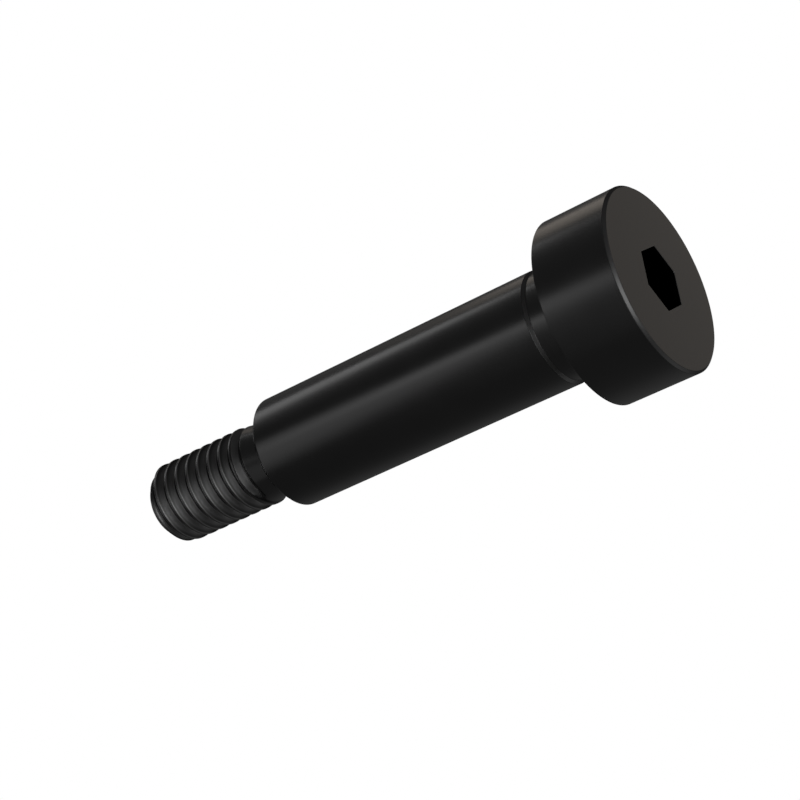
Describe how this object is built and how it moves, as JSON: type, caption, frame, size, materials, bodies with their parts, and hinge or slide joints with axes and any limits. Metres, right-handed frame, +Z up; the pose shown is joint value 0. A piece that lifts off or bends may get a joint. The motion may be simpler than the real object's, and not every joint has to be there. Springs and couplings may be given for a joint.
{
  "type": "shoulder bolt",
  "caption": "Shoulder bolt: round head with a hexagon socket, long plain shoulder and a shorter, narrower metric thread, in satin black oxide steel.",
  "frame": {"origin": "middle of the head's face, on which the bolt stands", "axes": "+Z up the bolt's axis, from the head's face to the thread's end; +X through the middle of one of the socket's flats"},
  "size_m": [0.0128, 0.0128, 0.0416],
  "materials": {
    "black_oxide_steel": "satin black oxide"
  },
  "bodies": {
    "root": {"shoulder_bolt": "black_oxide_steel"}
  },
  "joints": []
}
